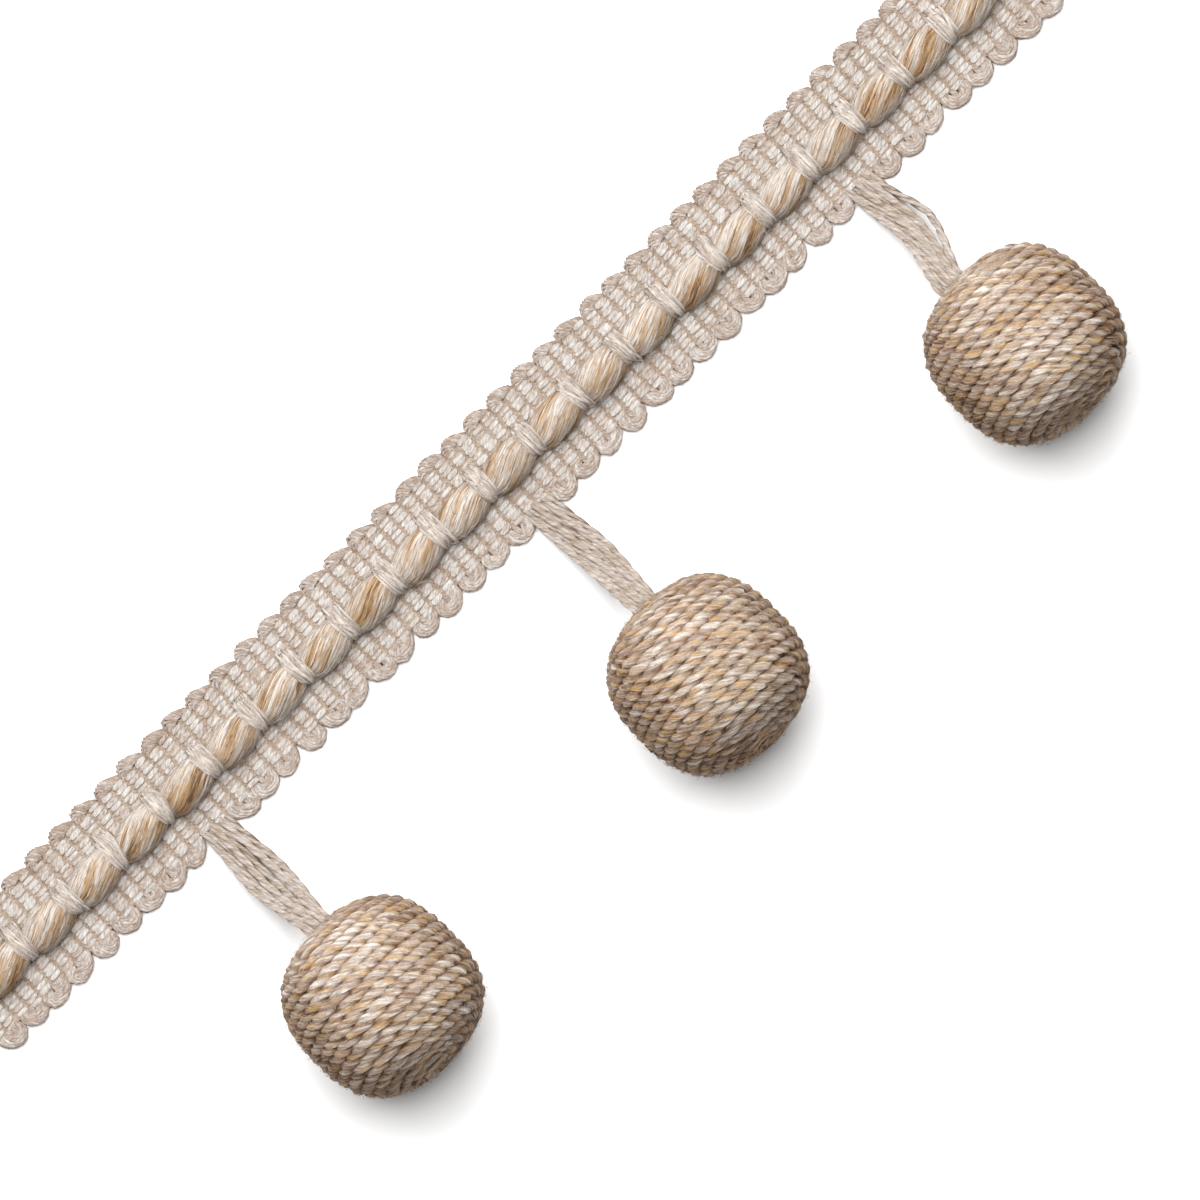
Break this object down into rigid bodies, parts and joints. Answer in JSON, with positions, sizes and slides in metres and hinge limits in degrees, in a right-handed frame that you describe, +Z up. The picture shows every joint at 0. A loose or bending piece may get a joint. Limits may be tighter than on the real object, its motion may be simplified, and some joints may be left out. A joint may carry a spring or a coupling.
{
  "type": "ball fringe trim",
  "caption": "Cut length of woven rib tape with looped edges, a couched gimp cord and yarn-wound balls hung on flat bundles of twisted cord, in heathered beige",
  "frame": {"origin": "under the middle of the trim's bounding box, on the surface that the trim lies on", "axes": "+X along the tape, -Y the way the balls hang, +Z up from the surface through the tape's face"},
  "size_m": [0.264, 0.0764, 0.0324],
  "materials": {
    "tape": "matte rib-woven tape of fine cream-beige cotton, soft and slightly hairy",
    "gimp": "soft loosely twisted roving in cream with ochre and pinkish strands, bound with pale thread",
    "hanger": "thin three-ply twisted cord in pale cream beige, nearly matte",
    "ball": "thick three-ply wool-like yarn in heathered beige with ochre, white and brown flecks, wound in turns"
  },
  "bodies": {
    "root": {"heading_tape": "tape", "gimp_cord": "gimp", "hanger_1": "hanger", "hanger_2": "hanger", "hanger_3": "hanger", "ball_1": "ball", "ball_2": "ball", "ball_3": "ball"}
  },
  "joints": []
}
